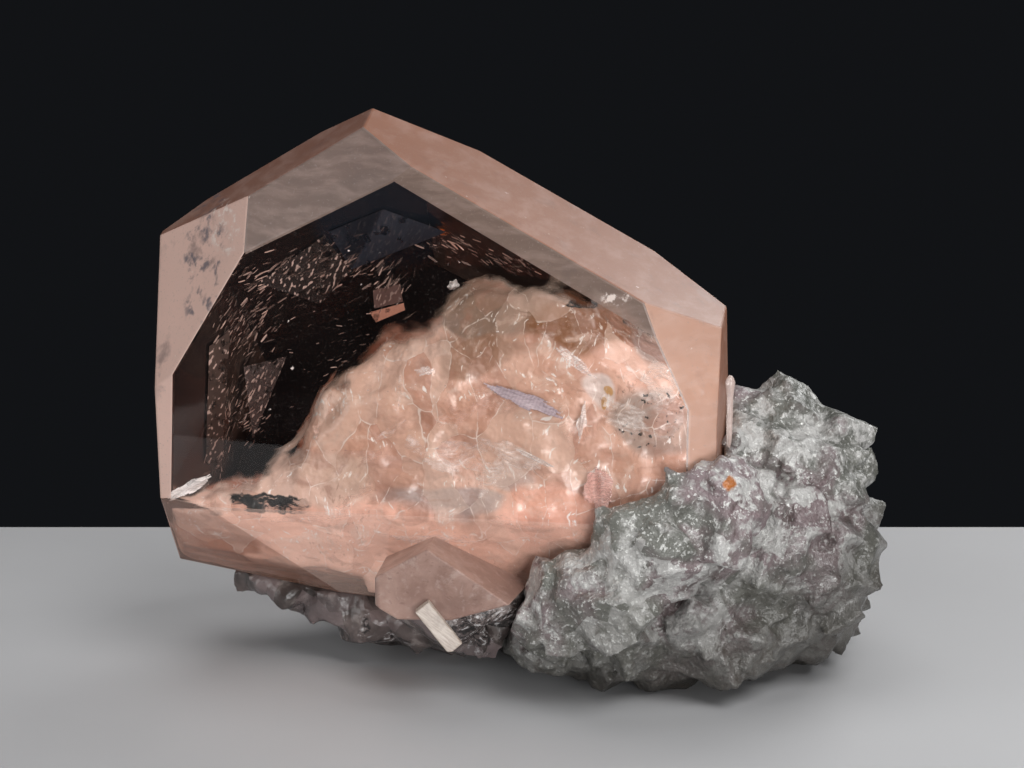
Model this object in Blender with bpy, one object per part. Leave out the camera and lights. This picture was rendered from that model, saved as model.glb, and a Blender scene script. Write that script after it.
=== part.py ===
"""A pink beryl crystal standing on edge in a lump of white cleavelandite.

The frame is in metres, +Z up, with its origin on the flat cut under the matrix, on which the
specimen rests. The viewer stands towards -Y, and the big crystal's flat front face looks at them.

Every crystal is bounded by named flat faces. A face is given as it would be on a crystal drawing:
its azimuth around the crystal's c axis (0 to the right, 90 up), its inclination from that axis (0
the flat end facing the viewer, 90 a prism face, over 90 a face at the back), and its distance from
the crystal's centre in millimetres. The big crystal is clear around a fractured, cloudy heart, which
grows up into it from the rock beneath.
"""

import math
import random

import bmesh
import bpy
from mathutils import Matrix, Vector, noise

MM = 0.001
GAP = 0.3
SOCKET_GROW = 0.45

# Big crystal: centre in millimetres, turn about the vertical and pitch of its c axis, in degrees.
BERYL_CENTRE = (-30.0, -10.5, 48.0)
BERYL_TURN = -9.0
BERYL_PITCH = 1.5
BERYL_FACES = {
    "front_end": (0, 0, 15.1),
    "bevel_upper_left": (117, 31, 25.2),
    "bevel_upper_right": (60.5, 6.7, 17.3),
    "bevel_left_corner": (149, 45, 30.6),
    "bevel_left": (178, 24, 27.8),
    "bevel_right_corner": (25, 48.5, 33.2),
    "bevel_right": (0, 34, 32.9),
    "bevel_bottom": (270, 39, 25.2),
    "bevel_bottom_left": (258, 47, 30.2),
    "side_upper_left": (121, 81, 32.5),
    "side_upper_right": (61, 85, 24.0),
    "side_left": (182, 83, 39.1),
    "side_right": (0, 91, 39.8),
    "side_bottom": (263, 98, 37.2),
    "side_bottom_right": (300, 90, 36.0),
    "back_end": (0, 180, 18.0),
    "back_upper_left": (121, 150, 20.3),
    "back_top": (91, 130, 24.7),
    "back_upper_right": (64, 149, 19.5),
    "back_right_corner": (32, 136, 27.7),
    "back_left_corner": (165, 135, 29.8),
    "back_bottom_right": (300, 150, 32.0),
}

# Cloudy heart of the big crystal, in millimetres from its centre along its own axes. Its upper edge
# from left to right, as distance right and up. Its foot grows out through the crystal's underside.
HEART_TOP = (
    (-42.0, -20.0),
    (-33.0, -19.0),
    (-22.0, -14.5),
    (-18.5, -12.0),
    (-14.5, -3.5),
    (-10.0, 0.5),
    (-2.0, 5.0),
    (3.0, 9.5),
    (8.5, 11.8),
    (15.0, 12.2),
    (24.0, 9.0),
    (31.0, 3.5),
    (42.0, -4.0),
)
HEART_FLOOR = -32.5
HEART_FLOOR_AT_LEFT = -29.0
HEART_FOOT = (-10.0, 14.0)
HEART_FOOT_END = -46.0
# Its rings from back to front: how far out each is, and how far the upper edge is let down there.
HEART_RINGS = ((-14.0, 3.0), (-11.0, 0.0), (5.0, 0.0), (10.5, 2.6), (13.4, 7.5))
# The clear wall left around it, and the faces that its foot comes out of.
HEART_WALL = 1.3
HEART_OPEN_FACES = ("side_bottom", "side_bottom_right")

# Small crystal, the same habit, in front of the big one's lower edge.
SMALL_CENTRE = (-29.7, -27.0, 18.0)
SMALL_TURN = -6.0
SMALL_PITCH = 4.0
SMALL_FACES = {
    "front_end": (0, 0, 4.2),
    "bevel_upper_left": (122, 42, 7.0),
    "bevel_left": (184, 38, 8.3),
    "bevel_bottom": (285, 36, 6.2),
    "side_upper_left": (120, 88, 5.6),
    "side_upper_right": (57, 86, 4.1),
    "side_left": (180, 90, 8.6),
    "side_bottom_left": (240, 88, 6.7),
    "side_bottom": (271, 86, 4.6),
    "side_bottom_right": (287, 88, 4.8),
    "back_end": (0, 180, 14.0),
}

# White blade: a flat lath of cleavelandite, long axis tipped down to the right.
BLADE_CENTRE = (-29.9, -32.3, 13.4)
BLADE_LEAN = 38.0
BLADE_HALF_LENGTH = 3.7
BLADE_HALF_WIDTH = 1.15
BLADE_HALF_THICKNESS = 0.8

# Thin clear rod beside the big crystal's right edge, with a knob on top.
NEEDLE_FOOT = (9.6, -24.0, 36.0)
NEEDLE_TOP_Z = 46.4
NEEDLE_RADIUS = 0.45
NEEDLE_KNOB_RADIUS = 0.75
NEEDLE_SIDES = 8

# Cleavelandite body: the big lumps it is heaped from, as centre and radii in millimetres.
MATRIX_LUMPS = (
    ((10, -8, 20), (18, 19, 16)),
    ((17.5, -5, 9), (11.5, 16, 8.5)),
    ((21.5, -10, 26), (7.5, 11, 9.5)),
    ((24, -13, 17), (7, 11, 8)),
    ((15.5, -8, 32.5), (6.5, 8, 5.5)),
    ((4, -27, 30), (8, 8, 8)),
    ((-2, -28, 25), (8, 8, 8)),
    ((-7, -26, 17), (8, 8.5, 8)),
    ((-13.5, -23, 13), (6, 8.5, 6.5)),
    ((-13, -16, 8.5), (8, 8, 6.5)),
    ((-14, -2, 4), (10, 10, 7)),
    ((2, -20, 11), (14, 9, 8.5)),
    ((2, -18.5, 4.5), (4.5, 5.5, 5.5)),
    ((12, -16, 9), (13, 10, 7)),
    ((4, 2, 4), (17, 14, 9)),
    ((-6, 13, 14), (17, 9, 15)),
    ((13, 8, 16), (13, 11, 15)),
)
# The large blocks that stand up from its top, as centre and half-size.
TOP_BLOCKS = (
    ((13.2, -9, 36.8), 3.9),
    ((18.6, -8, 36.6), 4.1),
    ((24.5, -9, 33.2), 3.6),
)
TOP_BLOCK_FLATNESS = 0.85
# Grains of the crust: how many, smallest and largest half-size, and the corners of the box they grow in.
GRAIN_SETS = (
    {"count": 45, "size": (2.4, 3.9), "low": (6, -90, 20), "high": (90, 40, 36.5)},
    {"count": 88, "size": (1.8, 2.9), "low": (-15, -90, 1), "high": (90, 40, 36.5)},
    {"count": 80, "size": (1.1, 1.8), "low": (-19, -90, 3), "high": (90, -16, 36.5)},
)
GRAIN_FLATNESS = (0.45, 0.95)
GRAIN_SEED = 12

# Quartz under the crystal: hand-placed lumps from the left tip to the matrix.
QUARTZ_LUMPS = (
    ((-55.5, -3, 13.2), (4.0, 7, 3.4)),
    ((-51, -2, 11.2), (6, 9, 4.4)),
    ((-45.5, -2, 9.2), (6.5, 10, 5.0)),
    ((-39.5, -2, 6.9), (7, 11, 5.8)),
    ((-32.5, -6, 6.9), (7, 10, 5.2)),
    ((-25.5, -11, 9.4), (7.5, 10, 6.4)),
    ((-23.5, -20, 14.2), (5.8, 8.5, 4.2)),
    ((-29, -18, 11.8), (7, 8, 4.4)),
    ((-32, 5, 4), (13, 13, 8.5)),
    ((-29, 13, 14), (17, 9, 15)),
)
QUARTZ_CHIPS = {"count": 40, "size": (1.4, 2.6), "high_x": -22}
QUARTZ_SEED = 5
LUMP_ROUGHNESS = 0.16

BLOCK_REACH = 200.0


def clear_scene():
    for item in list(bpy.data.objects):
        bpy.data.objects.remove(item, do_unlink=True)


def material(name, color, roughness, transmission=0.0):
    made = bpy.data.materials.new(name)
    made.use_nodes = True
    shader = made.node_tree.nodes["Principled BSDF"]
    shader.inputs["Base Color"].default_value = (*color, 1.0)
    shader.inputs["Roughness"].default_value = roughness
    shader.inputs["Transmission Weight"].default_value = transmission
    made.diffuse_color = (*color, 1.0)
    return made


def crystal_frame(turn, pitch):
    """The crystal's right, up and c axes in the world."""
    turn, pitch = math.radians(turn), math.radians(pitch)
    right = Vector((math.cos(turn), math.sin(turn), 0))
    c_axis = Vector((math.sin(turn) * math.cos(pitch), -math.cos(turn) * math.cos(pitch), math.sin(pitch)))
    return right, c_axis.cross(right), c_axis


def crystal_planes(centre, turn, pitch, faces, grow=0.0):
    """Each face as (outward normal, distance from the world's origin), moved out by grow."""
    right, up, c_axis = crystal_frame(turn, pitch)
    planes = []
    for azimuth, inclination, distance in faces.values():
        azimuth, inclination = math.radians(azimuth), math.radians(inclination)
        around = right * math.cos(azimuth) + up * math.sin(azimuth)
        normal = around * math.sin(inclination) + c_axis * math.cos(inclination)
        planes.append((normal, normal.dot(Vector(centre)) + distance + grow))
    return planes


def cut_by_plane(shape, normal, offset):
    """Takes away all that lies beyond the plane and closes the cut."""
    everything = shape.verts[:] + shape.edges[:] + shape.faces[:]
    cut = bmesh.ops.bisect_plane(
        shape, geom=everything, dist=1e-5, plane_co=normal * offset, plane_no=normal, clear_outer=True
    )
    rim = [item for item in cut["geom_cut"] if isinstance(item, bmesh.types.BMEdge)]
    if rim:
        bmesh.ops.holes_fill(shape, edges=rim, sides=0)


def solid_from_planes(centre, planes, reach=BLOCK_REACH):
    shape = bmesh.new()
    bmesh.ops.create_cube(shape, size=reach, matrix=Matrix.Translation(Vector(centre)))
    for normal, offset in planes:
        cut_by_plane(shape, normal, offset)
    bmesh.ops.recalc_face_normals(shape, faces=shape.faces)
    return shape


def place(shape, name, finish=None):
    """Turns a shape in millimetres into a named object in metres."""
    bmesh.ops.scale(shape, vec=(MM, MM, MM), verts=shape.verts)
    mesh = bpy.data.meshes.new(name)
    shape.to_mesh(mesh)
    shape.free()
    made = bpy.data.objects.new(name, mesh)
    bpy.context.scene.collection.objects.link(made)
    if finish:
        made.data.materials.append(finish)
    return made


def as_cutter(made):
    made.hide_render = True
    made.display_type = "WIRE"
    return made


def boolean(target, cutter, operation, use_self=False):
    step = target.modifiers.new(cutter.name, "BOOLEAN")
    step.operation = operation
    step.object = cutter
    step.solver = "EXACT"
    step.use_self = use_self


def islands(shape):
    """The shape's separate shells, as lists of faces."""
    left = set(shape.faces)
    shells = []
    while left:
        shell, frontier = set(), [left.pop()]
        while frontier:
            face = frontier.pop()
            shell.add(face)
            for edge in face.edges:
                for other in edge.link_faces:
                    if other in left:
                        left.remove(other)
                        frontier.append(other)
        shells.append(list(shell))
    return shells


def keep_main_body(made):
    """Fixes the Booleans' result in the mesh and drops crumbs that came loose."""
    graph = bpy.context.evaluated_depsgraph_get()
    shape = bmesh.new()
    shape.from_mesh(made.evaluated_get(graph).to_mesh())
    made.modifiers.clear()
    bmesh.ops.triangulate(shape, faces=shape.faces)
    bmesh.ops.remove_doubles(shape, verts=shape.verts, dist=1e-6)
    bmesh.ops.dissolve_degenerate(shape, edges=shape.edges, dist=1e-6)
    bmesh.ops.triangulate(shape, faces=shape.faces)
    shells = sorted(islands(shape), key=len)
    crumbs = [face for shell in shells[:-1] for face in shell]
    bmesh.ops.delete(shape, geom=crumbs, context="FACES")
    shape.to_mesh(made.data)
    shape.free()


def rough_lump(shape, centre, radii, seed, grow):
    """Adds a rounded, dented lump of 80 faces."""
    made = bmesh.ops.create_icosphere(shape, subdivisions=2, radius=1.0)
    for vert in made["verts"]:
        dent = noise.noise(vert.co * 1.7 + Vector((seed * 3.1, seed * 1.7, 0)))
        reach = 1.0 + LUMP_ROUGHNESS * 2 * dent
        out = Vector(co * radius * reach for co, radius in zip(vert.co, radii))
        vert.co = Vector(centre) + out + out.normalized() * grow


def grain(shape, centre, size, flatness, rng):
    """Adds a block or thick plate with one or two corners cut off."""
    turn = Matrix.Rotation(rng.uniform(0, math.tau), 4, "Z")
    tip = Matrix.Rotation(rng.uniform(-0.9, 0.9), 4, "X") @ Matrix.Rotation(rng.uniform(-0.9, 0.9), 4, "Y")
    half = Vector((size, size * rng.uniform(0.7, 1.0), size * flatness))
    corners = bmesh.ops.create_cube(shape, size=2.0)["verts"]
    faces = list({face for vert in corners for face in vert.link_faces})
    edges = list({edge for vert in corners for edge in vert.link_edges})
    pieces = corners + edges + faces
    for _ in range(rng.choice((1, 2))):
        signs = Vector(rng.choice((-1, 1)) for _ in range(3))
        normal = Vector(sign * rng.uniform(0.5, 1.0) for sign in signs).normalized()
        reach = max(abs(normal.x), abs(normal.y), abs(normal.z)) + rng.uniform(0.25, 0.45)
        cut = bmesh.ops.bisect_plane(
            shape, geom=pieces, dist=1e-5, plane_co=normal * reach, plane_no=normal, clear_outer=True
        )
        rim = [item for item in cut["geom_cut"] if isinstance(item, bmesh.types.BMEdge)]
        filled = bmesh.ops.holes_fill(shape, edges=rim, sides=0)["faces"] if rim else []
        pieces = [item for item in cut["geom"] if item.is_valid] + filled
    verts = list({vert for item in pieces if isinstance(item, bmesh.types.BMFace) for vert in item.verts})
    for vert in verts:
        vert.co = Vector(a * b for a, b in zip(vert.co, half))
        vert.co = Vector(centre) + (tip @ turn @ vert.co)


def depth_in_lump(point, lump):
    """1 on the lump's surface, less inside it."""
    centre, radii = lump
    return math.sqrt(sum(((p - c) / r) ** 2 for p, c, r in zip(point, centre, radii)))


def crust_points(lumps, count, rng, low=(-90, -90, 0), high=(90, 90, 90)):
    """Places on the outside of a heap of lumps, as (point, outward direction)."""
    weights = [radii[0] * radii[1] + radii[1] * radii[2] + radii[0] * radii[2] for _, radii in lumps]
    places = []
    tries = 0
    while len(places) < count and tries < 60 * count:
        tries += 1
        lump = rng.choices(lumps, weights)[0]
        out = Vector((rng.gauss(0, 1), rng.gauss(0, 1), rng.gauss(0, 1))).normalized()
        point = Vector(lump[0]) + Vector(o * radius for o, radius in zip(out, lump[1]))
        hidden = any(depth_in_lump(point, other) < 0.93 for other in lumps if other is not lump)
        inside_box = all(a <= p <= b for a, p, b in zip(low, point, high))
        if inside_box and not hidden:
            places.append((point, out))
    return places


def heap(name, lumps, finish=None, grow=0.0):
    """The lumps in one mesh, with no grains yet. They are fused by the Boolean that follows."""
    shape = bmesh.new()
    for seed, (centre, radii) in enumerate(lumps):
        rough_lump(shape, centre, radii, seed, grow)
    return place(shape, name, finish)


def floor_cutter():
    shape = bmesh.new()
    below = Matrix.Translation((0, 0, -BLOCK_REACH / 2))
    bmesh.ops.create_cube(shape, size=BLOCK_REACH, matrix=below)
    return as_cutter(place(shape, "floor_cutter"))


def beryl_planes(grow=0.0):
    return crystal_planes(BERYL_CENTRE, BERYL_TURN, BERYL_PITCH, BERYL_FACES, grow)


def heart_shape(grow=0.0):
    """Rings of the heart's outline, bridged, and cut off inside the crystal's faces.

    Grown, it is the pocket that the heart lies in, and its foot runs on out of the crystal.
    """
    right, up, c_axis = crystal_frame(BERYL_TURN, BERYL_PITCH)
    left_end, right_end = HEART_TOP[0][0], HEART_TOP[-1][0]
    foot_left, foot_right = HEART_FOOT
    floor = [
        (right_end, HEART_FLOOR),
        (foot_right, HEART_FLOOR),
        (foot_right, HEART_FOOT_END),
        (foot_left, HEART_FOOT_END),
        (foot_left, HEART_FLOOR),
        (left_end, HEART_FLOOR_AT_LEFT),
    ]
    shape = bmesh.new()
    rings = []
    for out, drop in HEART_RINGS:
        outline = [(along, over - drop) for along, over in HEART_TOP] + floor
        centre = Vector(BERYL_CENTRE) + c_axis * out
        rings.append([shape.verts.new(centre + right * along + up * over) for along, over in outline])
    for back, front in zip(rings, rings[1:]):
        for corner in range(len(back)):
            after = (corner + 1) % len(back)
            shape.faces.new((back[corner], back[after], front[after], front[corner]))
    shape.faces.new(rings[0])
    shape.faces.new(rings[-1])
    bmesh.ops.recalc_face_normals(shape, faces=shape.faces)
    if grow:
        shape.normal_update()
        moves = [vert.normal * grow * vert.calc_shell_factor() for vert in shape.verts]
        for vert, move in zip(shape.verts, moves):
            vert.co += move
    for name, (normal, offset) in zip(BERYL_FACES, beryl_planes()):
        if name not in HEART_OPEN_FACES:
            cut_by_plane(shape, normal, offset - HEART_WALL + grow)
        elif not grow:
            cut_by_plane(shape, normal, offset)
    bmesh.ops.recalc_face_normals(shape, faces=shape.faces)
    return shape


def small_planes(grow=0.0):
    return crystal_planes(SMALL_CENTRE, SMALL_TURN, SMALL_PITCH, SMALL_FACES, grow)


def seat_on(faces, planes, name):
    """A crystal's face as the plane that something leaning on it is cut off by."""
    normal, offset = planes[list(faces).index(name)]
    return -normal, -offset


def blade_planes(grow=0.0):
    """A lath with a slanted end at the foot."""
    lean = math.radians(BLADE_LEAN)
    along = Vector((math.sin(lean), 0, -math.cos(lean)))
    across = Vector((math.cos(lean), 0, math.sin(lean)))
    face = Vector((0.12, -0.98, 0.16)).normalized()
    tip = (along * 0.75 - across * 0.66).normalized()
    sides = (
        (along, BLADE_HALF_LENGTH),
        (-along, BLADE_HALF_LENGTH),
        (across, BLADE_HALF_WIDTH),
        (-across, BLADE_HALF_WIDTH),
        (face, BLADE_HALF_THICKNESS),
        (-face, BLADE_HALF_THICKNESS),
        (tip, BLADE_HALF_LENGTH * 0.86),
    )
    centre = Vector(BLADE_CENTRE)
    return [(normal, normal.dot(centre) + reach + grow) for normal, reach in sides]


def needle_shape(grow=0.0):
    """A turned rod: straight stem, then a knob that closes to a point."""
    foot = Vector(NEEDLE_FOOT)
    height = NEEDLE_TOP_Z - foot.z
    knob = NEEDLE_KNOB_RADIUS
    profile = (
        (0, -grow),
        (NEEDLE_RADIUS + grow, -grow),
        (NEEDLE_RADIUS + grow, height - 3 * knob),
        (knob + grow, height - 2 * knob),
        (knob + grow, height - knob),
        (0.4 * knob + grow, height + grow),
        (0, height + grow),
    )
    shape = bmesh.new()
    points = [shape.verts.new(foot + Vector((radius, 0, z))) for radius, z in profile]
    edges = [shape.edges.new(pair) for pair in zip(points, points[1:])]
    bmesh.ops.spin(
        shape, geom=points + edges, cent=foot, axis=(0, 0, 1), angle=math.tau, steps=NEEDLE_SIDES
    )
    bmesh.ops.remove_doubles(shape, verts=shape.verts, dist=1e-4)
    bmesh.ops.recalc_face_normals(shape, faces=shape.faces)
    return shape


def build_beryl():
    """The clear crystal, with the pocket that its cloudy heart lies in."""
    finish = material("pink_beryl", (0.80, 0.52, 0.42), 0.12, 0.6)
    made = place(solid_from_planes(BERYL_CENTRE, beryl_planes()), "morganite_crystal", finish)
    boolean(made, as_cutter(place(heart_shape(GAP), "heart_pocket")), "DIFFERENCE")
    return made


def build_heart():
    finish = material("peach_cloud", (0.66, 0.45, 0.36), 0.45)
    return place(heart_shape(), "cloudy_heart", finish)


def build_small_beryl():
    finish = material("pale_pink_beryl", (0.62, 0.46, 0.40), 0.22, 0.4)
    planes = small_planes() + [seat_on(BERYL_FACES, beryl_planes(GAP), "bevel_bottom")]
    return place(solid_from_planes(SMALL_CENTRE, planes), "small_morganite_crystal", finish)


def build_blade():
    finish = material("white_blade", (0.78, 0.74, 0.68), 0.4)
    planes = blade_planes() + [seat_on(SMALL_FACES, small_planes(GAP), "front_end")]
    return place(solid_from_planes(BLADE_CENTRE, planes), "cleavelandite_blade", finish)


def build_needle():
    finish = material("clear_needle", (0.80, 0.72, 0.68), 0.2, 0.5)
    return place(needle_shape(), "needle_crystal", finish)


def neighbour_cutters():
    """The crystals, a gap larger all round, which leave their sockets in what they grow from."""
    beryl = place(solid_from_planes(BERYL_CENTRE, beryl_planes(GAP)), "beryl_socket")
    small = place(solid_from_planes(SMALL_CENTRE, small_planes(GAP)), "small_beryl_socket")
    blade = place(solid_from_planes(BLADE_CENTRE, blade_planes(GAP)), "blade_socket")
    needle = place(needle_shape(GAP), "needle_socket")
    return [as_cutter(cutter) for cutter in (beryl, small, blade, needle)] + [floor_cutter()]


def quartz_socket():
    """The quartz lumps, a gap larger, which leave their socket in the cleavelandite."""
    return as_cutter(heap("quartz_socket", QUARTZ_LUMPS, grow=SOCKET_GROW))


def build_matrix(cutters):
    finish = material("white_cleavelandite", (0.70, 0.69, 0.66), 0.55)
    rng = random.Random(GRAIN_SEED)
    shape = bmesh.new()
    for centre, size in TOP_BLOCKS:
        grain(shape, Vector(centre), size, TOP_BLOCK_FLATNESS, rng)
    for crop in GRAIN_SETS:
        for point, out in crust_points(MATRIX_LUMPS, crop["count"], rng, crop["low"], crop["high"]):
            size = rng.uniform(*crop["size"])
            grain(shape, point - out * size * 0.35, size, rng.uniform(*GRAIN_FLATNESS), rng)
    grains = as_cutter(place(shape, "matrix_grains"))
    made = heap("cleavelandite_matrix", MATRIX_LUMPS, finish)
    boolean(made, grains, "UNION", use_self=True)
    for cutter in cutters:
        boolean(made, cutter, "DIFFERENCE")
    boolean(made, quartz_socket(), "DIFFERENCE", use_self=True)
    keep_main_body(made)
    return made


def build_quartz(cutters):
    finish = material("grey_quartz", (0.45, 0.41, 0.39), 0.18, 0.3)
    rng = random.Random(QUARTZ_SEED)
    shape = bmesh.new()
    high = (QUARTZ_CHIPS["high_x"], 90, 90)
    for point, out in crust_points(QUARTZ_LUMPS, QUARTZ_CHIPS["count"], rng, high=high):
        size = rng.uniform(*QUARTZ_CHIPS["size"])
        grain(shape, point - out * size * 0.6, size, rng.uniform(*GRAIN_FLATNESS), rng)
    chips = as_cutter(place(shape, "quartz_chips"))
    made = heap("quartz_base", QUARTZ_LUMPS, finish)
    boolean(made, chips, "UNION", use_self=True)
    for cutter in cutters:
        boolean(made, cutter, "DIFFERENCE")
    keep_main_body(made)
    return made


clear_scene()
sockets = neighbour_cutters()
build_beryl()
build_heart()
build_small_beryl()
build_blade()
build_needle()
build_matrix(sockets)
build_quartz(sockets)
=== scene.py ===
"""The looks of a pink beryl crystal standing on edge in a lump of white cleavelandite."""

import math
import random

import bmesh
import bpy
import numpy as np
from mathutils import Matrix, Vector, noise


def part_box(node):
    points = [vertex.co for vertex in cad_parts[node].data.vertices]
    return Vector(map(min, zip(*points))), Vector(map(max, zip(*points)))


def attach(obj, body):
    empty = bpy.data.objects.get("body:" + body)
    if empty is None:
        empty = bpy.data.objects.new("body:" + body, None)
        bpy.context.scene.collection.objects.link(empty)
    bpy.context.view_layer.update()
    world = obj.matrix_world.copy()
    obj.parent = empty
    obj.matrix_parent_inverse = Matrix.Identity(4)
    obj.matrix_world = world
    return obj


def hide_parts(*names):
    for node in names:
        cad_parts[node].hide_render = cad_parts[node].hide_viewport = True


MM = 0.001

# Big crystal, as it was cut: centre in millimetres, turn and pitch of its long axis in degrees.
BERYL_CENTRE = Vector((-30.0, -10.5, 48.0)) * MM
BERYL_TURN = math.radians(-9.0)
BERYL_PITCH = math.radians(1.5)
BERYL_IOR = 1.58

# What a face looks like: how frosted it is, the colour of its milk, and how dark it is painted from
# inside. The milk is the stone's pink made lighter or darker face by face as painted light and
# shade, and the darkness from inside is painted shade.
WINDOW = (0.0, (0.55, 0.45, 0.41), 0.0)
NAVY_WINDOW = (0.02, (0.30, 0.22, 0.20), 0.80)
DARK_WINDOW = (0.02, (0.30, 0.22, 0.20), 0.93)
SMOKY_WINDOW = (0.10, (0.20, 0.13, 0.11), 0.86)
ROSE = (0.92, (0.325, 0.142, 0.086), 0.0)
SALMON = (0.90, (0.510, 0.300, 0.225), 0.0)
MIST = (0.88, (0.73, 0.490, 0.415), 0.0)
SMOKE = (0.84, (0.190, 0.135, 0.115), 0.0)
ASH = (0.74, (0.195, 0.132, 0.105), 0.0)
BROWN = (0.90, (0.255, 0.124, 0.089), 0.0)
CLAY = (0.48, (0.31, 0.150, 0.100), 0.0)
VEIL = (0.28, (1.00, 0.68, 0.56), 0.0)

# Each face of the big crystal: azimuth and inclination in degrees, distance from the centre in
# millimetres, and its look.
BERYL_FACES = {
    "front_end": (0, 0, 15.1, WINDOW),
    "bevel_upper_left": (117, 31, 25.2, SMOKE),
    "bevel_upper_right": (60.5, 6.7, 17.3, ASH),
    "bevel_left_corner": (149, 45, 30.6, MIST),
    "bevel_left": (178, 24, 27.8, MIST),
    "bevel_right_corner": (25, 48.5, 33.2, SALMON),
    "bevel_right": (0, 34, 32.9, SALMON),
    "bevel_bottom": (270, 39, 25.2, VEIL),
    "bevel_bottom_left": (258, 47, 30.2, CLAY),
    "side_upper_left": (121, 81, 32.5, BROWN),
    "side_upper_right": (61, 85, 24.0, ROSE),
    "side_left": (182, 83, 39.1, MIST),
    "side_right": (0, 91, 39.8, ROSE),
    "side_bottom": (263, 98, 37.2, CLAY),
    "side_bottom_right": (300, 90, 36.0, ROSE),
    "back_end": (0, 180, 18.0, DARK_WINDOW),
    "back_upper_left": (121, 150, 20.3, NAVY_WINDOW),
    "back_top": (91, 130, 24.7, NAVY_WINDOW),
    "back_upper_right": (64, 149, 19.5, DARK_WINDOW),
    "back_right_corner": (32, 136, 27.7, SMOKY_WINDOW),
    "back_left_corner": (165, 135, 29.8, SMOKY_WINDOW),
    "back_bottom_right": (300, 150, 32.0, SMOKY_WINDOW),
}

# How far the white lath leans from level.
BLADE_LEAN = math.radians(38.0)

# Camera: the photograph's viewing angle and framing.
CAMERA_TARGET = Vector((-20.0, -12.0, 42.2)) * MM
CAMERA_DISTANCE = 398.2 * MM
CAMERA_ELEVATION = math.radians(14.0)
CAMERA_LENS = 100.0

# Lamps: name, place, what it is aimed at, edge length in metres and power in watts.
MIDDLE = (-0.02, -0.005, 0.035)
LAMPS = (
    ("key", (0.16, -0.24, 0.34), MIDDLE, 0.22, 0.95),
    ("top", (-0.02, 0.05, 0.42), MIDDLE, 0.30, 0.45),
    ("left", (-0.34, -0.16, 0.16), MIDDLE, 0.20, 0.40),
    ("low", (0.13, -0.40, 0.035), MIDDLE, 0.20, 0.78),
    ("back", (0.20, 0.26, 0.22), MIDDLE, 0.20, 0.50),
    ("under", (0.05, -0.26, 0.010), (-0.035, -0.03, 0.028), 0.07, 0.16),
)
ROOM_TINT = (0.5, 0.55, 0.65, 1)
ROOM_LIGHT = 0.012

# The floor board: its size and the middle of its body, in metres.
BOARD_SIZE = (0.56, 0.24, 0.006)
BOARD_MIDDLE = (-0.01, -0.06, -0.003)
BOARD_ROUNDING = 0.002


# Picking and shaping, as by hand

def only(piece):
    """Selects one object alone and makes it the active one."""
    bpy.ops.object.select_all(action="DESELECT")
    piece.select_set(True)
    bpy.context.view_layer.objects.active = piece


def edit(piece):
    """Opens one object in edit mode with nothing selected in its mesh."""
    only(piece)
    bpy.ops.object.mode_set(mode="EDIT")
    bpy.ops.mesh.select_mode(type="FACE")
    bpy.ops.mesh.select_all(action="DESELECT")


def close_edit():
    bpy.ops.object.mode_set(mode="OBJECT")


def new_cube(name, centre, size):
    """A cube of that edge length, named, in object mode."""
    bpy.ops.object.select_all(action="DESELECT")
    bpy.ops.mesh.primitive_cube_add(size=size, location=centre)
    piece = bpy.context.object
    piece.name = name
    settle(piece)
    return piece


def settle(piece):
    """Puts an object's place, turn and size into its mesh."""
    only(piece)
    bpy.ops.object.transform_apply(location=True, rotation=True, scale=True)


def slice_off(piece, point, normal):
    """Saws an open piece flat at a plane and keeps the side that the normal points away from."""
    edit(piece)
    bpy.ops.mesh.select_all(action="SELECT")
    bpy.ops.mesh.bisect(
        plane_co=point, plane_no=normal, use_fill=True, clear_outer=True, threshold=1e-7
    )
    close_edit()


def modify(piece, kind, **settings):
    """Adds a modifier, sets it and applies it."""
    only(piece)
    modifier = piece.modifiers.new(kind.title(), kind)
    for name, value in settings.items():
        setattr(modifier, name, value)
    bpy.ops.object.modifier_apply(modifier=modifier.name)


def roughen(piece, kind, size, strength, **settings):
    """Displaces a piece along its normals by a cloud or cell texture of that grain size."""
    texture = bpy.data.textures.new(piece.name + "_" + kind.lower(), kind)
    texture.noise_scale = size
    for name, value in settings.items():
        setattr(texture, name, value)
    modify(piece, "DISPLACE", texture=texture, texture_coords="LOCAL", strength=strength)


def soft_below(piece, degrees):
    """Shades a piece smooth, apart from edges that turn by more than the angle."""
    only(piece)
    bpy.ops.object.shade_smooth_by_angle(angle=math.radians(degrees))


def cad_copy(node, name):
    """A piece that starts as a merged copy of a CAD node's mesh."""
    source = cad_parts[node]
    piece = bpy.data.objects.new(name, source.data.copy())
    bpy.context.scene.collection.objects.link(piece)
    piece.data.materials.clear()
    edit(piece)
    bpy.ops.mesh.select_all(action="SELECT")
    bpy.ops.mesh.remove_doubles(threshold=2e-6)
    bpy.ops.mesh.normals_make_consistent(inside=False)
    close_edit()
    return piece


def join(pieces, name):
    """Joins objects into one and names it."""
    bpy.ops.object.select_all(action="DESELECT")
    for piece in pieces:
        piece.select_set(True)
    bpy.context.view_layer.objects.active = pieces[0]
    if len(pieces) > 1:
        bpy.ops.object.join()
    joined = bpy.context.object
    joined.name = name
    return joined


def wear(piece, material, slot, *nodes):
    """Gives a finished piece its material and its place in the frame."""
    piece.data.materials.clear()
    piece.data.materials.append(material)
    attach(piece, "root")
    if nodes:
        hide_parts(*nodes)
    return piece


# The big crystal's own directions

def crystal_axes(turn, pitch):
    """Right, up and outward directions of a crystal that faces the viewer."""
    right = Vector((math.cos(turn), math.sin(turn), 0))
    outward = Vector(
        (
            math.sin(turn) * math.cos(pitch),
            -math.cos(turn) * math.cos(pitch),
            math.sin(pitch),
        )
    )
    return right, outward.cross(right), outward


RIGHT, UP, OUTWARD = crystal_axes(BERYL_TURN, BERYL_PITCH)


def in_crystal(right, up, outward):
    """A point inside the big crystal, in millimetres from its centre along its own directions."""
    return BERYL_CENTRE + (RIGHT * right + UP * up + OUTWARD * outward) * MM


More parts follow.
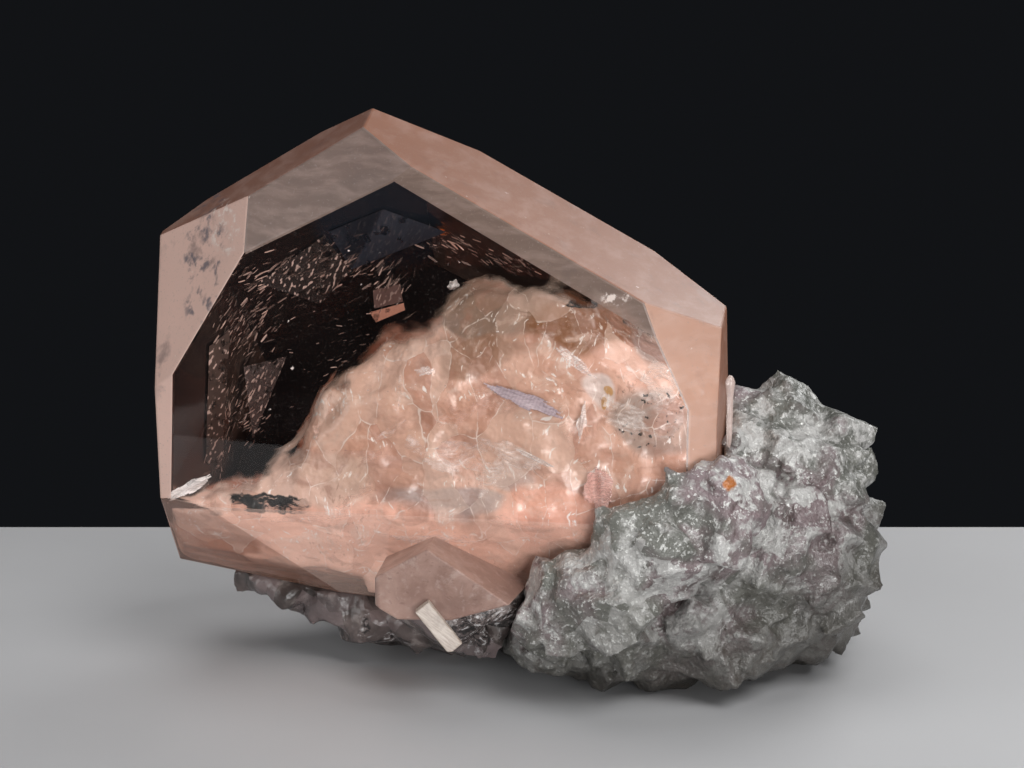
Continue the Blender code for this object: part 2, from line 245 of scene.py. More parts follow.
def face_normal(azimuth, inclination):
    around, tip = math.radians(azimuth), math.radians(inclination)
    flat = RIGHT * math.cos(around) + UP * math.sin(around)
    return flat * math.sin(tip) + OUTWARD * math.cos(tip)


def outside_by(points):
    """How far points are outside the big crystal, below zero inside it. One row a point."""
    return (((points - np.array(BERYL_CENTRE)) @ WALL_NORMALS.T) - WALL_DISTANCES).max(axis=1)


def keep_inside(points, inset):
    """Moves points back inside the big crystal, at least the inset from each of its faces."""
    points = points.copy()
    for turn in range(3):
        for normal, distance in zip(WALL_NORMALS, WALL_DISTANCES):
            over = (points - np.array(BERYL_CENTRE)) @ normal - (distance - inset)
            points -= np.outer(np.maximum(over, 0), normal)
    return points


def mesh_points(piece):
    """A piece's points, one row each."""
    points = np.empty(len(piece.data.vertices) * 3)
    piece.data.vertices.foreach_get("co", points)
    return points.reshape(-1, 3)


def move_points(piece, points):
    piece.data.vertices.foreach_set("co", points.ravel())
    piece.data.update()


def mark_faces(piece, name, values):
    """Keeps a number or a colour with each face, for its material to read."""
    kind, field = ("FLOAT", "value") if np.ndim(values) == 1 else ("FLOAT_COLOR", "color")
    marks = piece.data.attributes.new(name, kind, "FACE")
    rows = np.array(values, dtype=float)
    if rows.ndim > 1:
        rows = np.hstack([rows, np.ones((len(rows), 1))])
    marks.data.foreach_set(field, rows.ravel())


def crystal_places(points):
    """Points as right, up and outward distances from the big crystal's centre, in millimetres."""
    return (points - np.array(BERYL_CENTRE)) @ np.array([RIGHT, UP, OUTWARD]).T / MM


WALL_NORMALS = np.array([face_normal(face[0], face[1]) for face in BERYL_FACES.values()])
WALL_DISTANCES = np.array([face[2] * MM for face in BERYL_FACES.values()])


# Shader nodes

class Wire:
    """A socket in a material. Arithmetic on it adds Math nodes to the same material."""

    def __init__(self, tree, socket):
        self.tree = tree
        self.socket = socket
        self.front = None

    def node(self, kind, settings=(), inputs=(), output=0):
        """Adds a node: its settings first, then the values and links of its sockets."""
        made = self.tree.nodes.new("ShaderNode" + kind)
        for name, value in dict(settings).items():
            setattr(made, name, value)
        for name, value in dict(inputs).items():
            socket = made.inputs[name]
            if isinstance(value, Wire):
                self.tree.links.new(value.socket, socket)
            else:
                socket.default_value = value
        return Wire(self.tree, made.outputs[output])

    def math(self, operation, *values):
        return self.node("Math", {"operation": operation}, dict(enumerate(values)))

    def __add__(self, other):
        return self.math("ADD", self, other)

    def __radd__(self, other):
        return self.math("ADD", other, self)

    def __sub__(self, other):
        return self.math("SUBTRACT", self, other)

    def __rsub__(self, other):
        return self.math("SUBTRACT", other, self)

    def __mul__(self, other):
        return self.math("MULTIPLY", self, other)

    def __rmul__(self, other):
        return self.math("MULTIPLY", other, self)

    def sine(self):
        return self.math("SINE", self)

    def step(self, low, high):
        """From 0 at low to 1 at high, softly. Low may be the greater of the two."""
        return self.node(
            "MapRange",
            {"interpolation_type": "SMOOTHSTEP"},
            {"Value": self, "From Min": low, "From Max": high},
        )

    def least(self, other):
        return self.math("MINIMUM", self, other)

    def most(self, other):
        return self.math("MAXIMUM", self, other)

    def blend(self, first, second):
        """A colour between two, with this value as the share of the second."""
        return self.node(
            "Mix",
            {"data_type": "RGBA"},
            {0: self, 6: colour(first), 7: colour(second)},
            output=2,
        )

    def times(self, other):
        """This colour multiplied by another."""
        return self.node("VectorMath", {"operation": "MULTIPLY"}, {0: self, 1: other})

    def scaled(self, x, y, z):
        """This vector stretched along its axes."""
        return self.node("VectorMath", {"operation": "MULTIPLY"}, {0: self, 1: (x, y, z)})

    def shifted(self, amount, by):
        """This vector moved by another one times an amount."""
        return self.node(
            "VectorMath", {"operation": "MULTIPLY_ADD"}, {0: by, 1: (amount,) * 3, 2: self}
        )

    def along(self, direction):
        """How far this vector reaches in a direction."""
        return self.node(
            "VectorMath", {"operation": "DOT_PRODUCT"}, {0: self, 1: tuple(direction)}, output=1
        )

    def clouds(self, size, detail=4.0, roughness=0.55, warp=0.0):
        """Soft noise whose features are about that many millimetres wide."""
        return self.node(
            "TexNoise",
            {},
            {"Vector": self, "Scale": 1 / (size * MM), "Detail": detail,
             "Roughness": roughness, "Distortion": warp},
        )

    def cells(self, size, feature="F1", output=0):
        """Cell noise whose cells are about that many millimetres wide."""
        return self.node(
            "TexVoronoi", {"feature": feature}, {"Vector": self, "Scale": 1 / (size * MM)}, output
        )

    def facets(self, size):
        """Flat facets about that many millimetres wide: their heights in mm, and a shade each."""
        cell = self.cells(size, output=1)
        middle = Wire(self.tree, cell.socket.node.outputs["Position"])
        lean = cell.node("VectorMath", {"operation": "SUBTRACT"}, {0: cell, 1: (0.5, 0.5, 0.5)})
        away = self.node("VectorMath", {"operation": "SUBTRACT"}, {0: self, 1: middle})
        rise = away.node("VectorMath", {"operation": "DOT_PRODUCT"}, {0: away, 1: lean}, output=1)
        return rise * (1 / MM), cell.node("SeparateColor", {}, {0: cell})

    def swirl(self, size):
        """A noise vector, centred on zero, that bends patterns."""
        coloured = self.node(
            "TexNoise", {}, {"Vector": self, "Scale": 1 / (size * MM), "Detail": 2.0}, output=1
        )
        return coloured.node(
            "VectorMath", {"operation": "SUBTRACT"}, {0: coloured, 1: (0.5, 0.5, 0.5)}
        )


def colour(value):
    """A colour socket value from three numbers, or the link itself."""
    return value if isinstance(value, Wire) else (*value, 1.0)


def new_material(name):
    """An empty material: its object coordinates and a function that ends it with shaders."""
    material = bpy.data.materials.new(name)
    material.use_nodes = True
    tree = material.node_tree
    tree.nodes.clear()
    output = tree.nodes.new("ShaderNodeOutputMaterial")
    coordinates = tree.nodes.new("ShaderNodeTexCoord")
    place = Wire(tree, coordinates.outputs["Object"])

    def finish(surface, volume=None):
        tree.links.new(surface.socket, output.inputs["Surface"])
        if volume:
            tree.links.new(volume.socket, output.inputs["Volume"])
        return material

    return place, finish


def relief(height, depth, strength=1.0):
    """A bump whose full height is that many millimetres."""
    return height.node("Bump", {}, {"Strength": strength, "Distance": depth * MM, "Height": height})


def finish_of(place, **sockets):
    """A Principled shader, its sockets named in words."""
    named = {
        name.replace("_", " ").title().replace("Ior", "IOR"): value
        for name, value in sockets.items()
    }
    return place.node("BsdfPrincipled", {}, named)


# Colours of the clear stone and of what lies on its frosted faces, and the painted shade of its
# back windows seen from inside.
CLEAR_PINK = (1.0, 0.95, 0.93, 1)
DEEP_PINK = (1.0, 0.66, 0.55, 1)
PALE_STREAK = (0.66, 0.48, 0.42)
GREY_SMUDGE = (0.13, 0.115, 0.125)
DULL_DUST = (0.30, 0.24, 0.22)
BLUE_SMEAR = (0.085, 0.095, 0.125)
PALE_CRUST = (0.78, 0.66, 0.60)
WINDOW_SHADE_BLACK = (0.0065, 0.0050, 0.0045)
WINDOW_SHADE_BROWN = (0.016, 0.0125, 0.0125)
WINDOW_SHADE_NAVY = (0.0125, 0.0170, 0.0240)


def beryl_glass():
    """Clear pink beryl: windows of clear glass, and frosted sides with smudges and dust, their milk
    lit and shaded face by face as painted light and shade. The back windows are painted dark from
    inside as painted shade.
    """
    place, finish = new_material("pink_beryl_glass")
    frost = place.node("Attribute", {"attribute_name": "frost"}, output=2)
    milk = place.node("Attribute", {"attribute_name": "milk"})
    inner_painted_shade = place.node("Attribute", {"attribute_name": "inner_painted_shade"}, output=2)
    bent = place.shifted(0.004, place.swirl(9))
    drift = bent.clouds(16, 4)
    left_part = zone(bent, -33.0, 6.0, 6.0, 14.0)
    smudge = bent.clouds(5, 5, 0.6).step(0.55, 0.72) * frost * (0.22 + 0.55 * left_part)
    dust = place.clouds(0.35, 2, 0.7).step(0.60, 0.72)
    streak = place.shifted(0.003, place.swirl(7)).scaled(0.35, 0.35, 1.6).clouds(2.2, 4, 0.6)
    speck = place.clouds(1.1, 2, 0.5).step(0.735, 0.80)
    inner = place.node("NewGeometry", output="Backfacing")
    haze = (frost * (0.88 + 0.20 * drift) - smudge * 0.22 + dust * 0.05).most(0).least(1)
    haze = (1 - inner) * haze
    body = (streak.step(0.40, 0.75) * 0.22).blend(milk, PALE_STREAK)
    body = (smudge * 0.75).blend(body, GREY_SMUDGE)
    body = (dust * 0.5).blend(body, DULL_DUST)
    scab = zone(bent, 27.0, 10.4, 1.9, 1.1) * frost.step(0.86, 0.80)
    crust = zone(bent, -28.0, 16.5, 2.6, 3.2).most(scab)
    crust = (crust * place.clouds(1.4, 4, 0.7).step(0.50, 0.60)).most(speck)
    smear = zone(bent, -31.5, 12.0, 4.0, 8.5) * bent.clouds(2.4, 5, 0.6).step(0.50, 0.66)
    body = (smear * 0.8).blend(body, BLUE_SMEAR)
    body = (crust * 0.8).blend(body, PALE_CRUST)
    haze = haze.most(crust * (1 - inner) * 0.9)
    clear = finish_of(
        place,
        base_color=CLEAR_PINK,
        roughness=0.02 + 0.14 * frost,
        ior=BERYL_IOR,
        transmission_weight=1.0,
    )
    milky = finish_of(
        place, base_color=body, roughness=0.42, ior=BERYL_IOR, specular_ior_level=0.35
    )
    # Painted shade: the back windows seen from inside, near black with brown, and navy in one zone.
    shadow = bent.clouds(10, 3).blend(WINDOW_SHADE_BLACK, WINDOW_SHADE_BROWN)
    navy_shade = zone(bent, -9.0, 16.5, 9.0, 6.5)
    shadow = (navy_shade * 0.9).blend(shadow, WINDOW_SHADE_NAVY)
    dark = finish_of(place, base_color=shadow, roughness=0.9, specular_ior_level=0.0)
    surface = place.node("MixShader", {}, {0: haze, 1: clear, 2: milky})
    surface = place.node("MixShader", {}, {0: inner * inner_painted_shade, 1: surface, 2: dark})
    tint = place.node(
        "VolumeAbsorption", {}, {"Color": DEEP_PINK, "Density": 7.0}
    )
    return finish(surface, tint)


def spot(place, centre, radius):
    """1 inside a ball round a point in metres, 0 outside, ragged at its edge."""
    ragged = place.shifted(radius * 1.2, place.swirl(1.2))
    away = ragged.node("VectorMath", {"operation": "DISTANCE"}, {0: ragged, 1: centre}, output=1)
    return away.step(radius, radius * 0.6)


# Coloured regions of the heart: colour, strength, then centre right and up and half sizes in mm.
HEART_ZONES = (
    ((0.235, 0.165, 0.122), 0.85, 9.0, 8.5, 16.0, 4.6),
    ((0.340, 0.190, 0.122), 0.85, 8.0, 2.0, 6.0, 2.6),
    ((0.270, 0.115, 0.048), 0.95, 22.0, 6.0, 8.0, 3.6),
    ((0.240, 0.180, 0.165), 0.85, 31.0, 3.6, 3.4, 3.4),
    ((0.620, 0.450, 0.360), 0.60, -20.0, -17.0, 13.0, 4.0),
    ((0.425, 0.345, 0.330), 0.85, 3.0, -20.2, 9.5, 2.2),
    ((0.560, 0.450, 0.420), 0.70, 12.0, -15.5, 4.5, 2.6),
    ((0.960, 0.500, 0.370), 0.85, 18.0, -21.5, 7.5, 5.5),
    # The bright pink band along the bottom of the heart is painted light, as if coming in through
    # the bottom face.
    ((1.000, 0.580, 0.440), 0.95, -10.0, -28.5, 24.0, 7.5),
    ((0.340, 0.290, 0.260), 0.80, 33.0, -7.0, 7.0, 4.5),
    ((0.420, 0.130, 0.050), 0.85, -30.0, -27.5, 5.0, 2.0),
    ((0.560, 0.240, 0.110), 0.75, 36.5, -3.0, 2.0, 2.6),
    ((0.860, 0.740, 0.700), 0.90, 24.3, -3.2, 2.4, 2.8),
    ((0.620, 0.330, 0.080), 0.85, 25.6, -3.6, 0.8, 0.6),
    ((0.620, 0.330, 0.080), 0.85, 24.8, -5.3, 0.6, 0.8),
)
# Dark gaps seen through the top of the heart, painted black as painted shade: centre right and up
# and half sizes in mm.
HEART_GAPS = ((21.8, 8.4, 2.2, 0.6), (27.4, 5.8, 0.8, 0.4), (-21.6, -20.7, 6.0, 1.1))


def on_front(place):
    """A place as right and up on the big crystal's front, in millimetres."""
    right = place.along(RIGHT / MM) - BERYL_CENTRE.dot(RIGHT) / MM
    up = place.along(UP / MM) - BERYL_CENTRE.dot(UP) / MM
    return place.node("CombineXYZ", {}, {0: right, 1: up, 2: 0.0})


def zone(place, right, up, wide, tall, soft=0.35):
    """1 inside a soft oval on the crystal's front, 0 outside; centre and half sizes in mm."""
    place.front = place.front or on_front(place)
    away = place.node(
        "VectorMath",
        {"operation": "MULTIPLY_ADD"},
        {0: place.front, 1: (1 / wide, 1 / tall, 0), 2: (-right / wide, -up / tall, 0)},
    )
    length = away.node("VectorMath", {"operation": "DOT_PRODUCT"}, {0: away, 1: away}, output=1)
    return length.step(1 + soft, 1 - soft)


# Colours of the heart, and what each paints.
HEART_ROSE = (0.62, 0.350, 0.255)
HEART_PEACH = (0.79, 0.495, 0.388)
HEART_RIM = (0.300, 0.225, 0.180)
FOLD_SHADE = (0.36, 0.175, 0.120)
FOLD_LIGHT = (0.94, 0.72, 0.61)
FIBRE_SHADE = (0.33, 0.165, 0.115)
FIBRE_LIGHT = (0.90, 0.71, 0.62)
SHARD_LIGHT = (0.95, 0.72, 0.61)
SHARD_SHADE = (0.44, 0.215, 0.150)
SHARD_EDGE = (0.98, 0.88, 0.82)
HEART_MIST = (0.72, 0.560, 0.480)
HEART_GLINT = (1.0, 0.96, 0.93)
MIDDLE_DIMNESS = (0.80, 0.80, 0.77)
TOP_DIMNESS = (0.62, 0.58, 0.53)
HEART_BLACK = (0.004, 0.0035, 0.003)


def heart_finish():
    """The fractured heart of the crystal: peach and pink, folded and fibrous, with glints."""
    place, finish = new_material("peach_fracture_cloud")
    cover = place.node("Attribute", {"attribute_name": "cover"}, output=2)
    bent = place.shifted(0.010, place.swirl(13))
    curled = bent.shifted(0.0028, bent.swirl(4.5))
    broad = bent.clouds(10, 3)
    folds = curled.scaled(1, 1, 1.5).clouds(5.5, 4, 0.55, 0.5)
    fibres = curled.scaled(1.9, 1, 0.55).clouds(0.9, 3, 0.6, 0.3)
    shards = place.shifted(0.0035, place.swirl(6)).scaled(1.25, 1, 0.75)
    tilts, plane = shards.facets(6.0)
    edges = shards.cells(6.0, "DISTANCE_TO_EDGE").step(0.016, 0.003)
    mist = bent.clouds(3.0, 4, 0.65)
    skin = broad.step(0.38, 0.62).blend(HEART_ROSE, HEART_PEACH)
    for tone, strength, right, up, wide, tall in HEART_ZONES:
        skin = (zone(bent, right, up, wide, tall) * strength).blend(skin, tone)
    rim = cover.step(1.0, 0.35)
    calm = 1 - 0.8 * rim
    skin = (rim * 0.6).blend(skin, HEART_RIM)
    lively = broad.step(0.44, 0.60) * calm
    skin = (folds.step(0.47, 0.34) * calm * 0.55).blend(skin, FOLD_SHADE)
    skin = (folds.step(0.56, 0.68) * calm * 0.5).blend(skin, FOLD_LIGHT)
    skin = (fibres.step(0.42, 0.32) * lively * 0.5).blend(skin, FIBRE_SHADE)
    skin = (fibres.step(0.60, 0.72) * lively * 0.5).blend(skin, FIBRE_LIGHT)
    skin = (plane.step(0.66, 0.95) * calm * 0.40).blend(skin, SHARD_LIGHT)
    skin = (plane.step(0.34, 0.05) * calm * 0.45).blend(skin, SHARD_SHADE)
    skin = (edges * mist.step(0.46, 0.58) * calm * 0.7).blend(skin, SHARD_EDGE)
    smoke = mist.step(0.54, 0.72) * (0.25 + 0.35 * lively)
    skin = smoke.blend(skin, HEART_MIST)
    glint = (fibres * 0.7 + folds * 0.4).step(0.66, 0.70) * calm
    skin = (glint * 0.9).blend(skin, HEART_GLINT)
    dim = zone(bent, 6.0, -9.0, 27.0, 13.0).blend((1, 1, 1), MIDDLE_DIMNESS)
    dim = (zone(bent, 15.0, 8.0, 19.0, 6.5) * 0.9).blend(dim, TOP_DIMNESS)
    skin = skin.times(dim)
    # Black flecks, and the dark gaps painted black as painted shade.
    flecks_and_gap_shade = zone(bent, 31.5, -6.5, 6.0, 4.6) * place.clouds(0.8, 3, 0.6).step(0.39, 0.33)
    torn = place.shifted(0.0016, place.swirl(1.5))
    for right, up, wide, tall in HEART_GAPS:
        flecks_and_gap_shade = flecks_and_gap_shade.most(zone(torn, right, up, wide, tall, 0.2))
    strokes = torn.scaled(0.22, 0.22, 1.0).clouds(0.7, 3, 0.6).step(0.60, 0.50)
    flecks_and_gap_shade = flecks_and_gap_shade * (0.35 + 0.65 * strokes)
    skin = flecks_and_gap_shade.blend(skin, HEART_BLACK)
    waves = place.clouds(4.5, 3, 0.6)
    surface = finish_of(
        place,
        base_color=skin,
        roughness=0.42 - 0.25 * glint,
        ior=1.45,
        coat_weight=0.5 - 0.5 * flecks_and_gap_shade,
        coat_roughness=0.10,
        alpha=(cover * 1.7 - 0.75 + mist).most(0).least(1),
        normal=relief(tilts * 0.22 + waves * 0.8, 1.0, 0.9),
    )
    return finish(surface)


# How close the comb marks on a solid crack are: radians for each millimetre along it.
COMB_PITCH = 13


# Between a crack's pale ripples, and between the comb marks on a solid one.
RIPPLE_SHADE = (0.46, 0.32, 0.26)
COMB_SHADE = (0.20, 0.155, 0.185)


def crack_finish():
    """Crack faces, each in its own tint, bright along their ripples and clear between."""
    place, finish = new_material("crack_faces")
    tint = place.node("Attribute", {"attribute_name": "tint"})
    body = place.node("Attribute", {"attribute_name": "body"}, output=2)
    length = place.node("Attribute", {"attribute_name": "length"}, output=2)
    bent = place.shifted(0.004, place.swirl(4))
    ripple = bent.scaled(1, 1, 4).clouds(1.2, 4, 0.6)
    comb = (length * COMB_PITCH + ripple).sine() * 0.5 + 0.5
    solid = body.step(0.6, 0.7)
    patch = bent.clouds(5, 4, 0.6).step(0.45, 0.62)
    shade = (ripple.step(0.48, 0.34) * (1 - solid) * 0.18).blend(tint, RIPPLE_SHADE)
    shade = (comb * solid * 0.28).blend(shade, COMB_SHADE)
    cover = (ripple.step(0.46, 0.64) * 0.5 + patch * 0.35 + body).least(1) * (0.30 + body).least(1)
    surface = finish_of(
        place,
        base_color=shade,
        roughness=0.18 + 0.2 * ripple,
        ior=1.5,
        alpha=cover,
    )
    return finish(surface)


# The darkest and palest flakes, and the rusty ones.
FLAKE_DARK = (0.10, 0.065, 0.055)
FLAKE_PALE = (0.90, 0.68, 0.59)
FLAKE_RUST = (0.85, 0.24, 0.04)


def flake_finish():
    """Pinkish white flakes, each a little different, and rusty ones in one spot."""
    place, finish = new_material("etched_flake")
    tone = place.node("Attribute", {"attribute_name": "tone"}, output=2)
    body = (tone * tone).blend(FLAKE_DARK, FLAKE_PALE)
    body = zone(place, -0.4, 15.4, 1.4, 1.0).blend(body, FLAKE_RUST)
    return finish(finish_of(
        place, base_color=body, roughness=0.3 + 0.2 * tone, ior=1.5,
        alpha=0.12 + 0.7 * tone * tone,
    ))


# Colours of the cleavelandite, with its painted shade, glints and sparkles.
SUGAR_GREY = (0.146, 0.147, 0.130)
SUGAR_LILAC = (0.215, 0.162, 0.168)
SUGAR_WHITE = (0.450, 0.440, 0.425)
SUGAR_GREEN = (0.170, 0.170, 0.142)
PAINTED_RECESS_SHADE = (0.070, 0.044, 0.040)
SUGAR_GLINT_SPECKLE = (0.76, 0.76, 0.73)
SUGAR_SPARK = (0.95, 0.95, 0.92)
ROCK_SHADE = (0.060, 0.055, 0.047)
BOTTOM_DARK = (0.036, 0.031, 0.026)
GRAIN_ORANGE = (0.40, 0.12, 0.012)


def cleavelandite_finish():
    """White albite mottled with lilac and greenish grey, with one orange grain.

    It carries painted shade that deepens to the right and downwards, and it gets darker still
    towards the bottom.
    """
    place, finish = new_material("sugary_cleavelandite")
    bent = place.shifted(0.0025, place.swirl(3))
    tilts, tone = place.facets(4.2)
    grit, shade = place.facets(0.8)
    drift = place.shifted(0.006, place.swirl(11)).clouds(13, 3)
    cloudy = bent.clouds(3.2, 4, 0.62)
    sugar = place.clouds(0.7, 2, 0.7)
    height = place.along((0, 0, 1))
    rightward = place.along((1, 0, 0))
    white = (tone * 0.45 + shade * 0.15 + cloudy * 1.5 + sugar * 0.4 - 0.85).step(0.27, 0.60)
    lilac = drift.step(0.44, 0.58).blend(SUGAR_GREY, SUGAR_LILAC)
    body = white.blend(lilac, SUGAR_WHITE)
    green = ((0.50 - drift) * 5 + (0.020 - height) * 55 + 0.1).most(0).least(1)
    body = (green * 0.5).blend(body, SUGAR_GREEN)
    # Painted shade in the recesses between grains.
    recess_shade = cloudy.step(0.46, 0.36) * drift.step(0.46, 0.58)
    body = (recess_shade * 0.75).blend(body, PAINTED_RECESS_SHADE)
    # Pale speckle, partly the white sugar grains and partly painted glints, then rare painted
    # sparkles.
    dust = sugar.step(0.57, 0.66)
    body = (dust * 0.65).blend(body, SUGAR_GLINT_SPECKLE)
    spark = place.clouds(0.8, 1).step(0.77, 0.80)
    body = spark.blend(body, SUGAR_SPARK)
    # Painted shade, deepening to the right and downwards.
    shaded = (height + 0.012 * cloudy - rightward * 0.38).step(0.034, 0.004)
    body = (shaded * 0.86).blend(body, ROCK_SHADE)
    # Darker towards the bottom.
    dark = (height + 0.014 * drift - rightward * 0.05).step(0.0125, 0.0075)
    body = (dark * 0.94).blend(body, BOTTOM_DARK)
    orange = spot(place.scaled(1, 0.3, 1), (0.0089, -0.01065, 0.0343), 0.0010)
    body = orange.blend(body, GRAIN_ORANGE)
    bump = relief(tilts * 0.30 + grit * 0.45 + sugar * 0.4, 1.0, 0.9)
    surface = finish_of(
        place,
        base_color=body,
        roughness=0.20 + 0.35 * sugar,
        ior=1.53,
        coat_weight=0.25,
        coat_roughness=0.12,
        normal=bump,
    )
    return finish(surface)


# Colours of the quartz.
QUARTZ_DARK = (0.050, 0.040, 0.037)
QUARTZ_BROWN = (0.125, 0.098, 0.092)
QUARTZ_CLOUD = (0.36, 0.31, 0.29)
QUARTZ_FACET = (0.24, 0.185, 0.185)
QUARTZ_BLACK = (0.010, 0.009, 0.009)
QUARTZ_GLITTER = (0.62, 0.60, 0.60)


def quartz_finish():
    """Grey-brown quartz, with cloudy patches and dark glassy ones that glitter."""
    place, finish = new_material("grey_quartz")
    bent = place.shifted(0.005, place.swirl(8))
    drift = bent.clouds(9, 4)
    cloudy = bent.clouds(3, 5).step(0.50, 0.70)
    stone = drift.step(0.4, 0.6).blend(QUARTZ_DARK, QUARTZ_BROWN)
    stone = (cloudy * 0.5).blend(stone, QUARTZ_CLOUD)
    tilts, shade = bent.facets(4.5)
    stone = (shade.step(0.6, 1.0) * 0.5).blend(stone, QUARTZ_FACET)
    crinkle = bent.scaled(0.6, 1, 1).clouds(0.7, 3, 0.7)
    glassy = spot(place, (-0.0235, -0.026, 0.009), 0.0075).most(drift.step(0.60, 0.66))
    # In the glassy patches: dark crinkles, and pale crinkles that are painted glints.
    stone = (glassy * crinkle.step(0.50, 0.44) * 0.9).blend(stone, QUARTZ_BLACK)
    stone = (glassy * crinkle.step(0.56, 0.62) * 0.8).blend(stone, QUARTZ_GLITTER)
    bump = relief(place.clouds(1.4, 5, 0.6) * 0.4 + tilts * 0.5, 1.0, 0.7)
    surface = finish_of(
        place,
        base_color=stone,
        roughness=0.10 + 0.3 * cloudy,
        ior=1.54,
        normal=bump,
    )
    return finish(surface)


# Colours of the small crystal.
SMALL_BROWN = (0.30, 0.180, 0.145)
SMALL_PINK = (0.43, 0.280, 0.232)
SMALL_WISP = (0.58, 0.450, 0.400)
SMALL_STROKE = (0.20, 0.100, 0.080)
SMALL_CLEAR = (0.95, 0.84, 0.80, 1)


def pale_beryl_finish():
    """The small crystal: brownish pink and hazy, with pale wisps and dark strokes."""
    place, finish = new_material("pale_beryl_haze")
    bent = place.shifted(0.004, place.swirl(6))
    drift = bent.clouds(5, 4)
    wisps = bent.clouds(1.6, 5, 0.65).step(0.5, 0.7)
    milk = drift.step(0.35, 0.65).blend(SMALL_BROWN, SMALL_PINK)
    milk = (wisps * 0.5).blend(milk, SMALL_WISP)
    strokes = bent.scaled(1.0, 1.0, 2.2).clouds(1.1, 4, 0.65)
    milk = (strokes.step(0.42, 0.32) * 0.5).blend(milk, SMALL_STROKE)
    bump = relief(place.clouds(1.0, 3), 0.12, 0.6)
    clear = finish_of(
        place, base_color=SMALL_CLEAR, roughness=0.12, ior=BERYL_IOR,
        transmission_weight=1.0, normal=bump,
    )
    milky = finish_of(
        place, base_color=milk, roughness=0.35, ior=BERYL_IOR, normal=bump,
    )
    surface = place.node("MixShader", {}, {0: 0.6 + 0.25 * drift, 1: clear, 2: milky})
    return finish(surface)


# Colours of the white lath.
LATH_SHADE = (0.36, 0.285, 0.235)
LATH_LIGHT = (0.52, 0.445, 0.385)
LATH_STAIN = (0.24, 0.185, 0.150)


def blade_finish():
    """A white lath of cleavelandite with fine grooves along it."""
    place, finish = new_material("white_blade")
    along = Vector((math.cos(BLADE_LEAN), 0, -math.sin(BLADE_LEAN)))
    across = Vector((math.sin(BLADE_LEAN), 0, math.cos(BLADE_LEAN)))
    lengthwise = place.node(
        "CombineXYZ", {}, {0: place.along(along) * 0.12, 1: place.along(across), 2: 0.0}
    )
    grooves = lengthwise.clouds(0.28, 4)
    body = grooves.step(0.35, 0.65).blend(LATH_SHADE, LATH_LIGHT)
    body = (place.clouds(1.6, 4, 0.6).step(0.5, 0.7) * 0.5).blend(body, LATH_STAIN)
    surface = finish_of(
        place, base_color=body, roughness=0.25 + 0.2 * grooves, ior=1.53,
        normal=relief(grooves, 0.08, 0.7),
    )
    return finish(surface)


# Colours of the thin rod.
ROD_CLEAR = (0.96, 0.90, 0.87, 1)
ROD_MILK = (0.62, 0.50, 0.46, 1)


def rod_finish():
    """The thin clear rod, slightly milky."""
    place, finish = new_material("clear_rod_glass")
    drift = place.clouds(0.8, 3)
    clear = finish_of(
        place, base_color=ROD_CLEAR, roughness=0.08, ior=BERYL_IOR,
        transmission_weight=1.0, normal=relief(drift, 0.08, 0.5),
    )
    milky = finish_of(place, base_color=ROD_MILK, roughness=0.3, ior=BERYL_IOR)
    return finish(place.node("MixShader", {}, {0: 0.25 + 0.5 * drift, 1: clear, 2: milky}))


# Tones of the board.
BOARD_DARK = (0.50, 0.50, 0.51)
BOARD_LIGHT = (0.54, 0.54, 0.55)


def floor_finish():
    """Plain pale board."""
    place, finish = new_material("pale_board")
    drift = place.clouds(30, 3)
    tone = drift.blend(BOARD_DARK, BOARD_LIGHT)
    return finish(finish_of(place, base_color=tone, roughness=0.5 + 0.1 * drift))


# Pieces

# Cell size, in millimetres, of the skins that are drawn anew over a solid.
SKIN_VOXEL = 0.6


def melt_flats(piece):
    """Takes away the edges that lie in a flat face."""
    edit(piece)
    bpy.ops.mesh.select_all(action="SELECT")
    bpy.ops.mesh.dissolve_limited(angle_limit=math.radians(0.5))
    close_edit()


# The block that the big crystal is sawn from, and how wide the wear along its edges is, in mm. Its
# flattest edges turn by a little more than that many degrees.
ROUGH_BLOCK = 200.0
EDGE_WEAR = 0.28
FLATTEST_EDGE = 4


def big_crystal():
    """The big crystal's clear body, with each edge slightly worn and each face its own look.

    It is sawn from a block, face by face, and goes on as clear stone round its cloudy heart.
    """
    piece = new_cube("pink_beryl_crystal", BERYL_CENTRE, ROUGH_BLOCK * MM)
    for azimuth, inclination, distance, look in BERYL_FACES.values():
        normal = face_normal(azimuth, inclination)
        slice_off(piece, BERYL_CENTRE + normal * distance * MM, normal)
    modify(piece, "BEVEL", width=EDGE_WEAR * MM, segments=2, limit_method="ANGLE",
           angle_limit=math.radians(FLATTEST_EDGE), use_clamp_overlap=True)
    # Each face gets its frost, its milk with its painted light and shade, and its painted shade
    # from inside.
    looks = [face[3] for face in BERYL_FACES.values()]
    shown = [
        looks[int(np.argmax(WALL_NORMALS @ np.array(face.normal)))] for face in piece.data.polygons
    ]
    mark_faces(piece, "frost", [frost for frost, milk, inner_painted_shade in shown])
    mark_faces(piece, "milk", [milk for frost, milk, inner_painted_shade in shown])
    mark_faces(piece, "inner_painted_shade", [inner_painted_shade for frost, milk, inner_painted_shade in shown])
    soft_below(piece, FLATTEST_EDGE)
    piece.visible_shadow = False
    piece.visible_diffuse = False
    return wear(piece, beryl_glass(), "pink_beryl", "morganite_crystal")


# Upper edge of the cloudy heart inside the big crystal: right and up in millimetres.
CLOUD_TOP = (
    (-42.0, -20.0), (-33.0, -19.0), (-22.0, -14.5), (-18.5, -12.0), (-14.5, -3.5), (-10.0, 0.5),
    (-2.0, 5.0), (3.0, 9.5), (8.5, 11.8), (15.0, 13.5), (24.0, 11.0), (31.0, 6.5), (42.0, 0.0),
)
